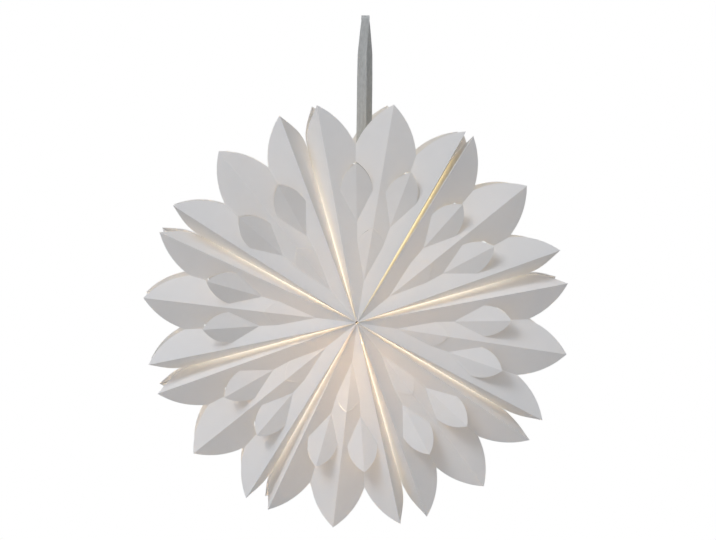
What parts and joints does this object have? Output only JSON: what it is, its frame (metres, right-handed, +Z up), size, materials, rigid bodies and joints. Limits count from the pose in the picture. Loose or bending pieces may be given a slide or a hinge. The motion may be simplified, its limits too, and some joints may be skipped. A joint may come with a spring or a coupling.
{
  "type": "hanging paper star lantern",
  "caption": "Folded white paper star lantern with petal-cut relief, deep side grooves, a lamp inside and a ribbon hanging loop.",
  "frame": {"origin": "the point inside the top of the ribbon loop where a hook carries the star", "axes": "+Z up along the hang, -Y towards the star's front, +X to the right as seen from the front"},
  "size_m": [0.4371, 0.1737, 0.5293],
  "materials": {
    "paper": "matt uncoated white paper, scored and folded",
    "ribbon": "grey woven organza ribbon",
    "holder": "moulded white plastic, satin",
    "bulb": "opal glass globe, lit warm white"
  },
  "bodies": {
    "root": {"sleeve_upper_right": "paper", "sleeve_top": "paper", "sleeve_upper_left": "paper", "sleeve_left": "paper", "sleeve_lower_left": "paper", "sleeve_bottom": "paper", "sleeve_lower_right": "paper", "sleeve_right": "paper", "hanging_ribbon": "ribbon", "holder_cap": "holder", "holder_shell": "holder", "shade_ring": "holder", "bulb": "bulb"}
  },
  "joints": []
}
